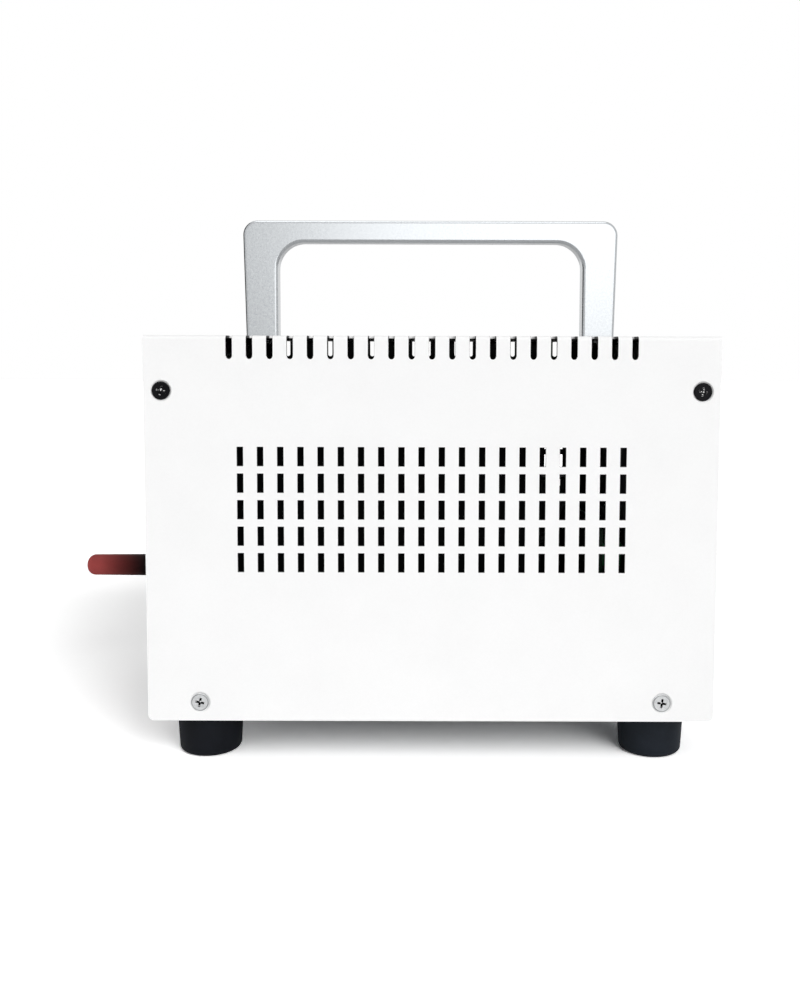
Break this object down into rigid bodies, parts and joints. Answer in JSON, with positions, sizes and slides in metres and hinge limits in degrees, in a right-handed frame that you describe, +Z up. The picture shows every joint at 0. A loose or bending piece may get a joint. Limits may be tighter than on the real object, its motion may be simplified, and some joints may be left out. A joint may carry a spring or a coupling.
{
  "type": "reflow oven",
  "caption": "Bench-top reflow oven: vented white sheet-metal case on rubber feet, with a bow carrying handle and a pull-out heating drawer.",
  "frame": {"origin": "under the middle of the whole object, on the surface that the feet stand on", "axes": "+Z up, -Y towards the drawer front, +X towards the pictured long side"},
  "size_m": [0.226, 0.355, 0.2863],
  "materials": {
    "case_white": "fine-textured satin powder coat",
    "handle_satin": "fine satin anodised",
    "black_screw": "black oxide",
    "bright_screw": "bright zinc",
    "foot_rubber": "matte moulded",
    "chamber_steel": "brushed stainless",
    "galvanised_sheet": "galvanised",
    "stove_black": "heat-proof matte",
    "mineral_wool": "felted fibre",
    "quartz_tube": "clear",
    "heater_wire": "oxidised resistance wire",
    "heater_ceramic": "unglazed",
    "probe_steel": "drawn stainless",
    "drawer_black": "satin powder coat",
    "seal_silicone": "matte silicone",
    "window_glass": "tempered clear",
    "rack_chrome": "plated wire",
    "grip_red": "satin moulded",
    "spacer_black": "satin moulded",
    "rail_zinc": "zinc plated",
    "fascia_black": "fine matte overlay",
    "display_lens": "clear",
    "display_panel": "grey-green reflective",
    "circuit_board": "solder-resist",
    "spacer_nylon": "natural nylon",
    "switch_black": "moulded",
    "button_grey": "satin moulded",
    "fan_black": "glass-filled moulded",
    "inlet_black": "moulded",
    "pin_brass": "nickel-plated brass",
    "rocker_gloss": "polished moulded",
    "transformer_tape": "wound tape",
    "relay_case": "moulded",
    "sink_aluminium": "black anodised extrusion",
    "terminal_green": "moulded",
    "lead_sleeve": "black woven heat-proof sleeve"
  },
  "bodies": {
    "casing": {"cover": "case_white", "front_panel": "case_white", "rear_panel": "case_white", "carry_handle": "handle_satin", "cover_screws": "black_screw", "rear_screws": "black_screw", "base_screws": "bright_screw", "case_bolts": "bright_screw", "foot_front_left": "foot_rubber", "foot_rear_left": "foot_rubber", "foot_front_right": "foot_rubber", "foot_rear_right": "foot_rubber", "chamber_liner": "chamber_steel", "base_pan": "galvanised_sheet", "chamber_runners": "galvanised_sheet", "chamber_jacket": "stove_black", "power_bracket": "stove_black", "chamber_insulation": "mineral_wool", "heater_tubes": "quartz_tube", "heater_filaments": "heater_wire", "heater_caps": "heater_ceramic", "thermocouple": "probe_steel", "fan_guard": "rack_chrome", "outer_rail_left": "rail_zinc", "outer_rail_right": "rail_zinc", "control_fascia": "fascia_black", "display_window": "display_lens", "display_module": "display_panel", "control_board": "circuit_board", "power_board": "circuit_board", "board_spacers": "spacer_nylon", "push_switches": "switch_black", "fan_frame": "fan_black", "mains_inlet": "inlet_black", "rocker_housing": "inlet_black", "inlet_pins": "pin_brass", "transformer": "transformer_tape", "heater_relay": "relay_case", "heat_sink": "sink_aluminium", "terminal_block": "terminal_green", "wiring": "lead_sleeve"},
    "drawer": {"drawer_front": "drawer_black", "drawer_seal": "seal_silicone", "drawer_window": "window_glass", "drawer_tray": "chamber_steel", "circuit_rack": "rack_chrome", "drawer_screws": "bright_screw", "pull_grip": "grip_red", "pull_spacer": "spacer_black", "pull_stem": "probe_steel", "inner_rail_left": "rail_zinc", "inner_rail_right": "rail_zinc"},
    "rail_middles": {"middle_rail_left": "rail_zinc", "middle_rail_right": "rail_zinc"},
    "fan_rotor": {"fan_impeller": "fan_black"},
    "power_rocker": {"rocker": "rocker_gloss"},
    "push_button_1": {"button_1": "button_grey"},
    "push_button_2": {"button_2": "button_grey"},
    "push_button_3": {"button_3": "button_grey"},
    "push_button_4": {"button_4": "button_grey"}
  },
  "joints": [
    {"name": "drawer_slide", "type": "slide", "parent": "casing", "child": "drawer", "axis": [0, -1, 0], "range_m": [0, 0.15]},
    {"name": "rail_middle_slide", "type": "slide", "parent": "casing", "child": "rail_middles", "axis": [0, -1, 0], "range_m": [0, 0.075]},
    {"name": "fan_spin", "type": "hinge", "parent": "casing", "child": "fan_rotor", "pos_m": [0.048, 0.158, 0.1353], "axis": [0, 1, 0], "continuous": true},
    {"name": "rocker_tip", "type": "hinge", "parent": "casing", "child": "power_rocker", "pos_m": [-0.058, 0.1723, 0.1073], "axis": [1, 0, 0], "range_deg": [-20, 0]},
    {"name": "button_1_press", "type": "slide", "parent": "casing", "child": "push_button_1", "axis": [0, 1, 0], "range_m": [0, 0.001], "stiffness_N_per_m": 1500},
    {"name": "button_2_press", "type": "slide", "parent": "casing", "child": "push_button_2", "axis": [0, 1, 0], "range_m": [0, 0.001], "stiffness_N_per_m": 1500},
    {"name": "button_3_press", "type": "slide", "parent": "casing", "child": "push_button_3", "axis": [0, 1, 0], "range_m": [0, 0.001], "stiffness_N_per_m": 1500},
    {"name": "button_4_press", "type": "slide", "parent": "casing", "child": "push_button_4", "axis": [0, 1, 0], "range_m": [0, 0.001], "stiffness_N_per_m": 1500}
  ],
  "couplings": [
    {"joint": "rail_middle_slide", "follows": "drawer_slide", "ratio": 0.5}
  ]
}
